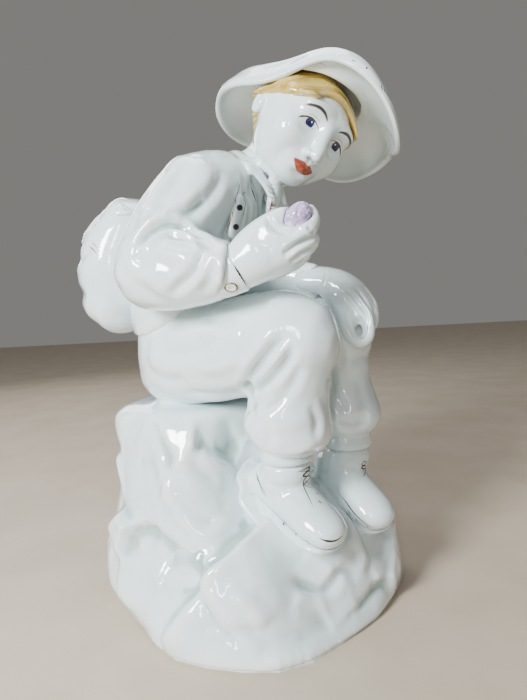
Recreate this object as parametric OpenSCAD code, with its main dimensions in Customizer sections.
// Seated porcelain figurine: a young rambler in a soft sun hat, with a rucksack, rests on a rock
// and looks at a lilac crystal. Slip-cast pieces meet at luted joints under one glaze.
// Millimetres, +Z up. The display front is -Y, the boots point to +X and -Y, and the origin is
// the middle of the flat foot.

/* [Rock] */
// Height of the seat on top of the rock
seat_z = 112; // [108:1:116]
// Height of the ledge that carries the boots
ledge_z = 44; // [40:1:48]
// Width of the rock's foot
rock_w = 172; // [165:1:178]
// Depth of the rock's foot
rock_d = 158; // [150:1:165]
// Diameter of the vent hole in the foot plate
vent_d = 9; // [6:0.5:14]

/* [Casting] */
// Wall of the large hollow castings
wall = 4; // [3:0.5:5]
// Thickness of the foot plate
plate_t = 3; // [2.5:0.5:4]

/* [Head and hat] */
// Turn of the head about the upright axis, degrees
head_turn = 22; // [18:1:26]
// Nod of the head, degrees
head_nod = 29; // [25:1:33]
// Lean of the head towards its left shoulder, degrees
head_lean = 32; // [28:1:35]
// Slant of the hat towards the left shoulder, degrees
hat_slant = 22; // [18:1:26]
// Radius of the hat's brim
brim_r = 53; // [50:0.5:55]
// Thickness of the brim
brim_t = 3; // [2.6:0.2:3.6]

/* [Rucksack] */
// Height of the rucksack
pack_h = 66; // [60:1:70]
// Width of the rucksack across the back
pack_w = 64; // [58:1:68]

/* [Hidden] */

porcelain = [0.93, 0.95, 0.94];
lilac = [0.72, 0.66, 0.82];
straw = [0.85, 0.72, 0.38];
gold = [0.62, 0.42, 0.16];

// Horizontal directions of the seated body: forward along the thighs, and to its left
facing = 32;
ahead = [cos(facing), -sin(facing), 0];
left = [sin(facing), cos(facing), 0];
up = [0, 0, 1];

// ---------------------------------------------------------------- shapes

function unit(v) = v / norm(v);
function sum(v, i = 0) = i == len(v) - 1 ? v[i] : v[i] + sum(v, i + 1);

// A station of a limb is [centre, half-width along `side`, half-depth across it].
function tangent(s, i) = unit(s[min(i + 1, len(s) - 1)][0] - s[max(i - 1, 0)][0]);

function ellipse(c, t, side, a, b, sides) =
    let (u = unit(side - (side * t) * t), v = cross(t, u))
    [for (k = [0:sides - 1]) c + a * cos(360 * k / sides) * u + b * sin(360 * k / sides) * v];

// Rings of a limb, with a domed end before the first station and after the last one
function limb_rings(s, side, sides, dome) =
    let (n = len(s) - 1, t0 = tangent(s, 0), t1 = tangent(s, n),
         r0 = min(s[0][1], s[0][2]) * dome, r1 = min(s[n][1], s[n][2]) * dome)
    concat(
        [for (g = [72, 38]) ellipse(s[0][0] - t0 * r0 * sin(g), t0, side,
                                        s[0][1] * cos(g), s[0][2] * cos(g), sides)],
        [for (i = [0:n]) ellipse(s[i][0], tangent(s, i), side, s[i][1], s[i][2], sides)],
        [for (g = [38, 72]) ellipse(s[n][0] + t1 * r1 * sin(g), t1, side,
                                        s[n][1] * cos(g), s[n][2] * cos(g), sides)]);

// Closed surface over a stack of rings, with a flat fan at each end
module skin(rings) {
    n = len(rings[0]);
    m = len(rings);
    points = concat([for (r = rings) each r], [sum(rings[0]) / n, sum(rings[m - 1]) / n]);
    faces = concat(
        [for (i = [0:m - 2], k = [0:n - 1])
            [i * n + k, i * n + (k + 1) % n, (i + 1) * n + (k + 1) % n]],
        [for (i = [0:m - 2], k = [0:n - 1])
            [i * n + k, (i + 1) * n + (k + 1) % n, (i + 1) * n + k]],
        [for (k = [0:n - 1]) [m * n, (k + 1) % n, k]],
        [for (k = [0:n - 1]) [m * n + 1, (m - 1) * n + k, (m - 1) * n + (k + 1) % n]]);
    polyhedron(points, [for (f = faces) [f[2], f[1], f[0]]]);
}

// Closed ring-shaped surface: each profile is a loop, and the profiles run round a closed path
module hoop(profiles) {
    m = len(profiles);
    n = len(profiles[0]);
    points = [for (p = profiles) each p];
    faces = [for (i = [0:m - 1], k = [0:n - 1])
        let (a = i * n + k, b = i * n + (k + 1) % n,
             c = ((i + 1) % m) * n + (k + 1) % n, d = ((i + 1) % m) * n + k)
        each [[c, b, a], [d, c, a]]];
    polyhedron(points, faces);
}

module limb(stations, side = left, sides = 18, dome = 1)
    skin(limb_rings(stations, side, sides, dome));

function thinner(s, t) = [for (q = s) [q[0], q[1] - t, q[2] - t]];

// A ribbon that follows points, `w` half-wide along `side` and `t` half-thick
module ribbon(points, w, t, side, sides = 8)
    limb([for (p = points) [p, w, t]], side, sides, 0.4);

// Each node is handed over as one closed mesh
module casting() resize([0, 0, 0]) children();

// ---------------------------------------------------------------- rock

// Rings of the rock: height, middle, half-width and half-depth
rock_levels = [
    [plate_t, [-9, -2], rock_w / 2 - 1, rock_d / 2],
    [12, [-10, -1], rock_w / 2, rock_d / 2 - 1],
    [24, [-11, 0], rock_w / 2 - 1, rock_d / 2 - 5],
    [ledge_z - 10, [-12, 2], rock_w / 2 - 3, rock_d / 2 - 9],
    [ledge_z, [-14, 4], rock_w / 2 - 6, rock_d / 2 - 14],
    [ledge_z + 9, [-22, 7], rock_w / 2 - 15, rock_d / 2 - 20],
    [ledge_z + 20, [-33, 10], rock_w / 2 - 28, rock_d / 2 - 24],
    [seat_z - 32, [-39, 13], rock_w / 2 - 34, rock_d / 2 - 26],
    [seat_z - 16, [-41, 14], rock_w / 2 - 36, rock_d / 2 - 27],
    [seat_z - 6, [-42, 14], rock_w / 2 - 38, rock_d / 2 - 29],
    [seat_z - 1, [-43, 14], rock_w / 2 - 45, rock_d / 2 - 36]
];
rock_sides = 30;

// Share of the ring's radius at an angle: four soft corners, with low lumps that drift upwards
function lumps(g, z) =
    -0.05 + 0.05 * cos(4 * g) + 0.022 * sin(3 * g + 40 + z) + 0.022 * sin(5 * g - 2 * z + 10)
    + 0.016 * sin(8 * g + 3 * z);

function rock_ring(level, inset) =
    [for (k = [0:rock_sides - 1])
        let (g = 360 * k / rock_sides, s = 1 + lumps(g, level[0]))
        [level[1][0] + (level[2] * s - inset) * cos(g),
         level[1][1] + (level[3] * s - inset) * sin(g),
         level[0]]];

module foot_plate() {
    rim = [for (p = rock_ring(rock_levels[0], 3)) [p[0], p[1]]];
    color(porcelain)
    difference() {
        linear_extrude(plate_t) polygon(rim);
        translate([-24, 16, -1]) cylinder(d = vent_d, h = plate_t + 2, $fn = 48);
    }
}

module rock_form() skin([for (l = rock_levels) rock_ring(l, 0)]);

module rock_shell() {
    top = len(rock_levels) - 1;
    cavity = concat(
        [[for (p = rock_ring(rock_levels[0], wall + 2)) [p[0], p[1], plate_t - 1]]],
        [for (i = [0:top - 1]) rock_ring(rock_levels[i], wall + 1)],
        [[for (p = rock_ring(rock_levels[top], wall + 4)) [p[0], p[1], seat_z - wall - 4]]]);
    color(porcelain)
    casting() difference() {
        rock_form();
        skin(cavity);
        seat_form();
        right_thigh_form();
        left_thigh_form();
        for (f = [right_foot, left_foot]) sole_form(f);
        for (f = [right_foot, left_foot]) upper_form(f);
    }
}

// ---------------------------------------------------------------- trousers

seat = [-42, 12, seat_z];
knee_r = [17, -41, seat_z + 34];
knee_l = [42, 0, seat_z + 33];
ankle_r = [9, -36, ledge_z + 49];
ankle_l = [46, -1, ledge_z + 45];

seat_stations = [
    [seat + [0, 0, 12], 33, 29],
    [seat + [-1, 0, 28], 34, 29],
    [seat + [-2, 0, 44], 31, 26]
];
right_thigh_stations = [
    [seat + [-4, -15, 24], 23, 26],
    [seat + [16, -28, 28], 24, 27],
    [seat + [38, -41, 33], 24, 26],
    [knee_r + [-5, 3, 1], 23, 25],
    [knee_r + [0, 0, 0], 22, 24]
];
left_thigh_stations = [
    [seat + [14, 13, 24], 23, 26],
    [seat + [38, 5, 28], 24, 26],
    [seat + [60, -4, 32], 23, 24],
    [knee_l + [-6, 2, 0], 22, 23],
    [knee_l, 21, 22]
];

// Trouser leg from the knee to its gathered hem, from the two joints it joins
function leg_stations(knee, ankle, w) = [
    [knee + [-1, 1, 0], w - 5, w - 6],
    [knee + 0.25 * (ankle - knee), w - 3, w - 4],
    [knee + 0.48 * (ankle - knee), w - 4, w - 5],
    [knee + 0.68 * (ankle - knee), w - 1, w - 2],
    [knee + 0.80 * (ankle - knee), w + 1, w],
    [knee + 0.90 * (ankle - knee), w, w - 1],
    [knee + 0.97 * (ankle - knee), w - 4, w - 4]
];

module seat_form() limb(seat_stations, left, 20, 0.55);
module right_thigh_form() limb(right_thigh_stations, left, 20);
module left_thigh_form() limb(left_thigh_stations, left, 20);
module right_leg_form() limb(leg_stations(knee_r, ankle_r, 23), left, 20, 0.3);
module left_leg_form() limb(leg_stations(knee_l, ankle_l, 21), left, 20, 0.3);

module trousers_seat() {
    color(porcelain)
    casting() difference() {
        seat_form();
        limb(concat(thinner(seat_stations, wall), [[seat + [-3, 0, 80], 20, 16]]), left, 14, 0.5);
    }
}

module thigh(stations) {
    n = len(stations) - 1;
    color(porcelain)
    casting() difference() {
        limb(stations, left, 20);
        limb(thinner(stations, wall), left, 12, 1);
        seat_form();
    }
}

module right_thigh() thigh(right_thigh_stations);
module left_thigh() thigh(left_thigh_stations);

// Gathered leg, open at the knee, where it meets the thigh
module trouser_leg(stations) {
    cavity = concat([[stations[0][0] + [0, 0, 40], 14, 14]], thinner(stations, wall));
    color(porcelain)
    casting() difference() {
        limb(stations, left, 20, 0.3);
        limb(cavity, left, 12, 0.2);
        children();
    }
}

module right_trouser_leg() trouser_leg(leg_stations(knee_r, ankle_r, 23)) right_thigh_form();
module left_trouser_leg() trouser_leg(leg_stations(knee_l, ankle_l, 21)) left_thigh_form();

// ---------------------------------------------------------------- socks and boots

// A foot is [heel, toe, ankle]: the middles of its heel and toe, and its ankle
right_foot = [[-1, -25, ledge_z + 27], [27, -57, ledge_z + 12], ankle_r];
left_foot = [[36, 8, ledge_z + 22], [57, -26, ledge_z + 6], ankle_l];

function foot_dir(f) = unit(f[1] - f[0]);
function foot_side(f) = unit(cross(up, foot_dir(f)));
function foot_up(f) = cross(foot_dir(f), foot_side(f));
function on_foot(f, t, rise) = f[0] + t * (f[1] - f[0]) + rise * foot_up(f);

module sock_form(f)
    limb([[f[2] + [0, 0, 6], 14.5, 14], [f[2] + [0, 0, -2], 14, 13.5], [f[2] + [0, 0, -8], 14.5, 14]],
         left, 18, 0.1);

module upper_form(f) {
    limb([[on_foot(f, 0, 1), 10.5, 10], [on_foot(f, 0.28, 1.5), 11.5, 12],
          [on_foot(f, 0.6, 0), 12.5, 10.5], [on_foot(f, 0.85, -1), 13, 9],
          [on_foot(f, 1, -1.5), 11.5, 8]], foot_side(f), 16);
    limb([[f[2] + [0, 0, -4], 12.6, 12.2], [f[2] + [0, 0, -12], 13.2, 12.8],
          [on_foot(f, 0.25, 4), 12.5, 13]], left, 16, 0.4);
}

module sole_form(f) {
    limb([[on_foot(f, 0, -8.5), 11, 4], [on_foot(f, 0.3, -8.8), 11.5, 3.6],
          [on_foot(f, 0.65, -9), 13.5, 3.6], [on_foot(f, 0.9, -8.8), 13.5, 3.6],
          [on_foot(f, 1.02, -8), 12, 3.4]], foot_side(f), 14, 1.8);
    limb([[on_foot(f, -0.06, -12), 9.5, 4.5], [on_foot(f, 0.2, -12), 10, 4.5]],
         foot_side(f), 12, 0.5);
}

module sock(f, leg_stations) {
    color(porcelain)
    casting() difference() {
        sock_form(f);
        limb(leg_stations, left, 20, 0.3);
    }
}

module boot(f) {
    color(porcelain)
    casting() difference() {
        upper_form(f);
        sock_form(f);
    }
}

module boot_sole(f) {
    color(porcelain)
    casting() difference() {
        sole_form(f);
        upper_form(f);
    }
}

module right_sock() sock(right_foot, leg_stations(knee_r, ankle_r, 23));
module left_sock() sock(left_foot, leg_stations(knee_l, ankle_l, 20.8));
module right_boot() boot(right_foot);
module left_boot() boot(left_foot);
module right_boot_sole() boot_sole(right_foot);
module left_boot_sole() boot_sole(left_foot);

// ---------------------------------------------------------------- shirt and arms

shoulder_r = [-28, -22, seat_z + 113];
elbow_r = [-52, -35, seat_z + 73];
wrist_r = [-9, -60, seat_z + 69];
shoulder_l = [3, 27, seat_z + 112];
elbow_l = [-13, 25, seat_z + 71];
wrist_l = [33, -5, seat_z + 64];

shirt_stations = [
    [[-46, 13, seat_z + 38], 33, 28],
    [[-45, 12, seat_z + 50], 34, 29],
    [[-42, 10, seat_z + 66], 34, 28],
    [[-35, 7, seat_z + 84], 36, 26],
    [[-27, 4, seat_z + 99], 36, 23],
    [[-18, 1, seat_z + 112], 33, 19],
    [[-9, -2, seat_z + 122], 23, 15],
    [[-3, -4, seat_z + 129], 14, 12]
];
right_upper_stations = [
    [shoulder_r + [8, 6, 5], 17, 17],
    [shoulder_r, 21, 21],
    [shoulder_r + 0.33 * (elbow_r - shoulder_r) + [-1, 0, 0], 22, 22],
    [shoulder_r + 0.66 * (elbow_r - shoulder_r) + [-1, 0, 0], 22, 22],
    [elbow_r, 21, 21]
];
right_forearm_stations = [
    [elbow_r + [2, 0, -1], 20, 19.5],
    [elbow_r + 0.3 * (wrist_r - elbow_r), 20, 19],
    [elbow_r + 0.6 * (wrist_r - elbow_r), 17, 16],
    [elbow_r + 0.8 * (wrist_r - elbow_r), 14, 13.5]
];
right_cuff_stations = [
    [elbow_r + 0.8 * (wrist_r - elbow_r), 14, 13.5],
    [wrist_r - [1, 0, 0], 13, 12.5]
];
left_upper_stations = [
    [shoulder_l + [-6, -5, 4], 17, 17],
    [shoulder_l, 19, 18],
    [0.5 * (shoulder_l + elbow_l), 18, 18],
    [elbow_l, 16, 15]
];
left_forearm_stations = [
    [elbow_l, 13.5, 13],
    [elbow_l + 0.4 * (wrist_l - elbow_l), 14, 13],
    [elbow_l + 0.75 * (wrist_l - elbow_l), 11, 10]
];
left_cuff_stations = [
    [elbow_l + 0.75 * (wrist_l - elbow_l), 11, 10],
    [wrist_l, 10, 9]
];

module shirt_form() limb(shirt_stations, left, 20, 0.4);
module right_upper_form() limb(right_upper_stations, ahead, 18);
module right_forearm_form() limb(right_forearm_stations, up, 18, 0.9);
module right_cuff_form() limb(right_cuff_stations, up, 18, 0.12);
module left_upper_form() limb(left_upper_stations, ahead, 18);
module left_forearm_form() limb(left_forearm_stations, up, 18, 0.9);
module left_cuff_form() limb(left_cuff_stations, up, 18, 0.12);

module shirt_body() {
    cavity = concat([[[-47, 14, seat_z - 10], 20, 16]], thinner(shirt_stations, wall));
    color(porcelain)
    casting() difference() {
        shirt_form();
        limb(cavity, left, 12, 0.2);
        seat_form();
        right_thigh_form();
        left_thigh_form();
        neck_form();
    }
}

module right_upper_sleeve() {
    color(porcelain)
    casting() difference() {
        right_upper_form();
        limb(thinner(right_upper_stations, wall), ahead, 12);
        shirt_form();
    }
}

module right_forearm_sleeve() {
    color(porcelain)
    casting() difference() {
        right_forearm_form();
        limb(thinner(right_forearm_stations, wall), up, 12, 0.9);
        right_upper_form();
        right_cuff_form();
    }
}

module right_cuff() {
    color(porcelain)
    casting() difference() {
        right_cuff_form();
        right_hand_form();
    }
}

module left_upper_sleeve() {
    color(porcelain)
    casting() difference() {
        left_upper_form();
        shirt_form();
        left_thigh_form();
    }
}

module left_forearm_sleeve() {
    color(porcelain)
    casting() difference() {
        left_forearm_form();
        left_upper_form();
        shirt_form();
        left_cuff_form();
        left_thigh_form();
    }
}

module left_cuff() {
    color(porcelain)
    casting() difference() {
        left_cuff_form();
        left_hand_form();
        left_thigh_form();
    }
}

module cuff_button() {
    axis_from = wrist_r + [-4, -10.2, -7.2];
    color(gold)
    translate(axis_from)
    rotate([118, 0, 12])
    difference() {
        cylinder(r = 2.6, h = 1.6, $fn = 32);
        translate([0, 0, 1]) cylinder(r = 1.5, h = 1, $fn = 32);
    }
}

// ---------------------------------------------------------------- hands and crystal

crystal_mid = wrist_r + [26.7, -5, 21.5];

// A finger follows points from the wrist, each with its own half-thickness
module finger(wrist, points) limb([for (p = points) [wrist + p[0], p[1], p[1]]], up, 8);

module right_hand_form() {
    limb([[wrist_r + [-6, 3, -3], 11, 9], [wrist_r + [2, 1, 2], 11.5, 9],
          [wrist_r + [10.5, 0, 7.5], 12, 9], [wrist_r + [19, -1, 9], 10, 8],
          [wrist_r + [25, 0, 10], 8, 7]], up, 14, 0.8);
    // thumb and first finger pinch the crystal
    finger(wrist_r, [[[5, 1, 12], 5.5], [[13, -2, 18.7], 5.1], [[19.5, -3.2, 21], 4.4], [[22, -2, 22], 3.6]]);
    finger(wrist_r, [[[18, -4, 10.5], 4.6], [[26, -5, 13.5], 4.4], [[32, -3.5, 18], 4], [[32.5, -1, 23], 3.4]]);
    // the other fingers fold below it
    finger(wrist_r, [[[20, -3, 5], 4.6], [[28, -3, 8], 4.4], [[33, 0, 12], 3.8], [[30, 6, 14], 3.4]]);
    finger(wrist_r, [[[17, 2, 1], 4.4], [[25, 3, 3.5], 4.2], [[29.5, 6, 8], 3.6]]);
    finger(wrist_r, [[[14, 7, -1], 4], [[21, 9, 1], 3.8], [[25, 11, 5], 3.4]]);
}

module left_hand_form() {
    limb([[wrist_l + [-6, 4, 1], 8.5, 6.5], [wrist_l + [3, 0, 0], 8.5, 6],
          [wrist_l + [9, -2, -1.5], 9, 6.2], [wrist_l + [15, -6, -6], 9.5, 6.4],
          [wrist_l + [19.5, -9, -12], 9, 6]], [0.3, 0.95, 0], 14, 0.8);
    // first finger, pointing down
    finger(wrist_l, [[[15, -11, -9], 4], [[20, -16, -16.5], 4], [[22, -20, -24], 3.6], [[22, -21, -30], 3]]);
    // the others, folded over the knee
    finger(wrist_l, [[[19, -8, -10], 4.2], [[25, -11, -15.5], 4.2], [[25, -14, -22], 3.6]]);
    finger(wrist_l, [[[20, -3, -9], 4.2], [[26.5, -5, -14], 4.2], [[27, -8, -20], 3.6]]);
    finger(wrist_l, [[[19, 2, -8], 4], [[25, 1, -13], 4], [[26.5, -1, -19], 3.4]]);
    // thumb, bent to meet the tip of the first finger
    finger(wrist_l, [[[8, -8, -10], 4.8], [[10.5, -15, -18], 4], [[11.5, -20, -25], 3.8],
                     [[13.5, -22, -30], 3.6], [[17.5, -22.5, -32.5], 3.4], [[21, -22, -31.5], 2.8]]);
}

// Thin web of clay that closes the ring of thumb and finger
module grip_web()
    hull() {
        translate(wrist_l + [12, -15, -16]) sphere(r = 2, $fn = 8);
        translate(wrist_l + [19, -17, -19]) sphere(r = 2, $fn = 8);
        translate(wrist_l + [19, -19, -29]) sphere(r = 2, $fn = 8);
        translate(wrist_l + [13, -19, -27]) sphere(r = 2, $fn = 8);
    }

module right_hand() {
    color(porcelain)
    casting() difference() {
        right_hand_form();
        crystal_form();
    }
}

module left_hand() {
    color(porcelain)
    casting() difference() {
        union() {
            left_hand_form();
            grip_web();
        }
        left_thigh_form();
        left_leg_form();
        right_thigh_form();
    }
}

// Water-worn pebble of crystal between thumb and finger
module crystal_form()
    translate(crystal_mid)
    rotate([0, 50, 0])
    limb([[[0, 0, -4.5], 3.4, 3], [[0, 0, 0], 4.8, 4.2], [[0, 0, 4], 4.2, 3.8]], [0, 1, 0], 14, 0.9);

module crystal() color(lilac) crystal_form();

// ---------------------------------------------------------------- head and hat

head_mid = [25.5, -7, seat_z + 146];

// Places its children in the head's own frame: face along -Y, crown along +Z
module in_head()
    translate(head_mid)
    rotate([0, 0, head_turn])
    rotate([head_nod, 0, 0])
    rotate([0, head_lean, 0])
    children();

module in_hat()
    translate(head_mid + [7, 13, 2])
    rotate([-4, 0, 0])
    rotate([0, hat_slant, 0])
    children();

// Skull and face as one stack of rings from the chin to the crown
skull_stations = [
    [[0, -15.6, -27], 8.3, 6.2],
    [[0, -12.5, -23], 14.6, 13.5],
    [[0, -7.3, -17.2], 20.3, 19.8],
    [[0, -3.1, -9.4], 23.9, 25.5],
    [[0, 0, 2.1], 26, 29.1],
    [[0, 1, 10.4], 25.5, 29.1],
    [[0, 2.1, 17.7], 22.4, 26.5],
    [[0, 2.1, 23.4], 16.6, 19.8],
    [[0, 3.1, 27], 8.8, 10.9]
];

module skull_form() limb(skull_stations, [1, 0, 0], 22, 0.3);

module nose_form()
    limb([[[0, -27.5, 3], 1.6, 2], [[0, -30, -3], 2, 2.4], [[0, -31.5, -8], 3, 2.8]],
         [1, 0, 0], 12);

module ear_form(s)
    limb([[[s * 25, 3, 3], 2, 4.5], [[s * 26.5, 3.5, -2], 2.2, 5], [[s * 25.5, 2, -8], 1.8, 3.2]],
         [1, 0, 0], 12);

module neck_form() {
    top = [0, 6, -16];
    in_head() limb([[top, 13, 13], [top + [1, 5, -15], 12.5, 12.5], [top + [-5, 9, -25], 13, 13]],
                   [1, 0, 0], 16, 0.3);
}

module head() {
    color(porcelain)
    casting() difference() {
        union() {
            in_head() {
                skull_form();
                nose_form();
                ear_form(1);
                ear_form(-1);
            }
            neck_form();
        }
        in_head() limb(thinner(skull_stations, wall), [1, 0, 0], 12, 0.3);
        in_head() translate([0, 2, -50]) cylinder(r = 4, h = 40, $fn = 24);
    }
}

// Fringe: a thin cap on the skull that leaves the face and the ears free
module hair() {
    lifted = [for (q = skull_stations) [q[0], q[1] + 1.6, q[2] + 1.6]];
    color(straw)
    casting() difference() {
        in_head() limb(lifted, [1, 0, 0], 22, 0.35);
        in_head() skull_form();
        in_head() translate([3, 0, -8]) rotate([90, -12, 0]) scale([1, 1.2, 1]) cylinder(r = 23, h = 60, $fn = 24);
        in_head() rotate([-23, 2, 0]) translate([-40, -40, -60]) cube([80, 80, 62]);
        in_hat() crown_form();
        brim_form();
    }
}

crown_r = 29;
crown_h = 28;

crown_mid = [-2, -12.5, 0];

crown_stations = [
    [crown_mid + [0.2, -0.4, 12], crown_r - 0.2, crown_r + 1.2],
    [crown_mid + [0, 0, 16], crown_r - 1.6, crown_r],
    [crown_mid + [0, 1.2, 20], crown_r - 4.8, crown_r - 3.2],
    [crown_mid + [0, 1.8, 24.4], crown_r - 9.6, crown_r - 8],
    [crown_mid + [0, 1.8, crown_h], crown_r - 16, crown_r - 15]
];

module crown_form() limb(crown_stations, [1, 0, 0], 22, 0.1);

// The brim's rim round the hat: a soft, waved edge
function rim_z(g) = 0.8 - 6.5 * sin(g) + 2.9 * cos(2 * g - 150) + 3.2 * cos(3 * g - 56)
    + 3.8 * cos(4 * g - 34);
function rim_r(g) = brim_r - 2.5 + 5.6 * cos(2 * g + 69) + 3.6 * cos(3 * g - 157)
    + 2.2 * cos(4 * g - 125);

// Share of the way from rim to crown, and the rise above the rim, of the drooping brim
brim_curve = [[0, 0], [0.04, 4], [0.2, 9], [0.5, 12.5], [1, 15]];

// Mid-surface of the brim at point `i` of its curve, moved by `lift` along the hat's axis
// and by `grow` away from it
function brim_point(g, i, lift, grow) =
    let (q = brim_curve[i], r = rim_r(g) + q[0] * (crown_r - 2 - rim_r(g)) + grow,
         z = rim_z(g) * (1 - q[0]) + q[1] + lift)
    q[0] * crown_mid + [r * cos(g), r * sin(g), z];

brim_steps = 36;

module brim_form()
    in_hat() hoop([for (i = [0:brim_steps - 1])
        let (g = 360 * i / brim_steps, h = brim_t / 2)
        [brim_point(g, 4, h, 0), brim_point(g, 3, h, 0), brim_point(g, 2, h, h * 0.6),
         brim_point(g, 1, 0, h), brim_point(g, 0, -h, 0), brim_point(g, 1, 0, -h),
         brim_point(g, 2, -h, -h * 0.6), brim_point(g, 3, -h, 0), brim_point(g, 4, -h, 0)]]);

module hat_crown() {
    color(porcelain)
    casting() difference() {
        in_hat() crown_form();
        in_hat() limb(concat([[crown_mid - [0, 0, 12], crown_r - 4, crown_r - 2]], thinner(crown_stations, 3)),
                      [1, 0, 0], 16, 0.1);
        in_head() skull_form();
    }
}

module hat_brim() {
    color(porcelain)
    casting() difference() {
        brim_form();
        in_hat() crown_form();
        in_head() skull_form();
        in_head() for (s = [-1, 1]) ear_form(s);
        neck_form();
        shirt_form();
    }
}

// ---------------------------------------------------------------- collar and scarf

collar_mid = [-2, -4, seat_z + 127];

module collar_flap(s) {
    root = collar_mid + s * 12 * left;
    limb([[root + [-2, 3, 4], 6, 2.2],
          [root + 8 * ahead + [0, 0, -2] - 2 * s * left, 6, 2],
          [root + 14 * ahead + [0, 0, -12] - 5 * s * left, 4, 1.8],
          [root + 17 * ahead + [0, 0, -20] - 6 * s * left, 1.6, 1.6]], left, 12);
}

module shirt_collar() {
    color(porcelain)
    casting() difference() {
        for (s = [-1, 1]) collar_flap(s);
        shirt_form();
        neck_form();
        in_head() skull_form();
    }
}

// Knitted neckerchief between the open flaps
module neck_scarf() {
    top = collar_mid + 13 * ahead;
    color(porcelain)
    casting() difference() {
        limb([[top + [0, 0, 1], 6, 4], [top + [2, -1, -8], 6, 4],
              [top + [1, -1, -18], 5, 3.5], [top + [-1, -1, -26], 4, 3]], left, 14);
        shirt_form();
        neck_form();
        for (s = [-1, 1]) collar_flap(s);
        in_head() skull_form();
    }
}

// ---------------------------------------------------------------- rucksack

pack_mid = [-84, 34, seat_z + 78];

pack_stations = [
    [pack_mid + [5, -1, -0.5 * pack_h + 4], pack_w / 2 - 6, 15],
    [pack_mid + [1, 0, -0.32 * pack_h], pack_w / 2 - 1, 22],
    [pack_mid + [1, -1, 0], pack_w / 2, 26],
    [pack_mid + [6, -3, 0.25 * pack_h], pack_w / 2 - 2, 24],
    [pack_mid + [14, -8, 0.5 * pack_h - 4], pack_w / 2 - 8, 18]
];

module pack_form() limb(pack_stations, left, 20, 0.5);

module rucksack_bag() {
    mouth = pack_mid + 40 * ahead;
    color(porcelain)
    casting() difference() {
        pack_form();
        limb(thinner(pack_stations, wall), left, 12, 0.5);
        limb([[pack_mid, 6, 6], [mouth, 6, 6]], up, 12, 0.1);
        shirt_form();
        seat_form();
        right_upper_form();
    }
}

// Cover that folds over the top and down the outer side
module rucksack_flap() {
    lid = [for (q = pack_stations) [q[0], q[1] + 1.8, q[2] + 1.8]];
    color(porcelain)
    casting() difference() {
        intersection() {
            limb(lid, left, 20, 0.6);
            translate(pack_mid + [-10, 6, 0.5 * pack_h + 6] - 6 * ahead)
            rotate([0, 0, -facing])
            rotate([0, -28, 0])
            cube([80, pack_w - 8, 56], center = true);
        }
        pack_form();
        shirt_form();
        right_upper_form();
    }
}

strap_w = 5;

module rucksack_straps() {
    color(porcelain)
    casting() difference() {
        for (s = [-1, 1])
            ribbon([pack_mid + [14, -4, 26] + 12 * s * left,
                    [-30, 8, seat_z + 126] + 15 * s * left,
                    [-14, 0, seat_z + 127] + 16 * s * left,
                    [-4, -6, seat_z + 118] + 17 * s * left,
                    [2, -9, seat_z + 104] + 17 * s * left,
                    [0, -8, seat_z + 90] + 18 * s * left],
                   strap_w, 2, left);
        shirt_form();
        pack_form();
        neck_form();
        in_head() skull_form();
        right_upper_form();
        left_upper_form();
        strap_end_form();
        for (s = [-1, 1]) collar_flap(s);
        brim_form();
    }
}

strap_end_top = [-8, -27, seat_z + 108];
strap_end_foot = [-13, -29, seat_z + 88];

// Leather tongue of the buckle end, lying in front of the armpit
module strap_end_form()
    limb([[strap_end_top, 3, 2], [0.5 * (strap_end_top + strap_end_foot), 4.4, 2.2],
          [strap_end_foot, 3.4, 2]], left, 14, 0.8);

module strap_end() {
    color(porcelain)
    casting() difference() {
        strap_end_form();
        right_upper_form();
        right_forearm_form();
        shirt_form();
    }
}

module strap_rivets() {
    color(gold)
    for (t = [0.3, 0.78])
        translate(strap_end_top + t * (strap_end_foot - strap_end_top) + [1, -2.4, 0])
        rotate([100, 0, 30])
        difference() {
            cylinder(r = 1.5, h = 1, $fn = 24);
            translate([0, 0, 0.6]) cylinder(r = 0.8, h = 1, $fn = 24);
        }
}

module rucksack_buckles() {
    color(gold)
    for (s = [-1, 1])
        translate(pack_mid - 23 * ahead + 14 * s * left + [2, 0, 4])
        rotate([0, 0, -facing])
        rotate([0, -75, 0])
        linear_extrude(1.6)
        difference() {
            square([8, 7], center = true);
            square([5, 4], center = true);
        }
}

// ---------------------------------------------------------------- nodes

foot_plate();
rock_shell();
trousers_seat();
right_thigh();
left_thigh();
right_trouser_leg();
left_trouser_leg();
right_sock();
left_sock();
right_boot();
left_boot();
right_boot_sole();
left_boot_sole();
shirt_body();
shirt_collar();
neck_scarf();
right_upper_sleeve();
right_forearm_sleeve();
right_cuff();
left_upper_sleeve();
left_forearm_sleeve();
left_cuff();
right_hand();
left_hand();
crystal();
head();
hair();
hat_crown();
hat_brim();
rucksack_bag();
rucksack_flap();
rucksack_straps();
strap_end();
strap_rivets();
rucksack_buckles();
cuff_button();
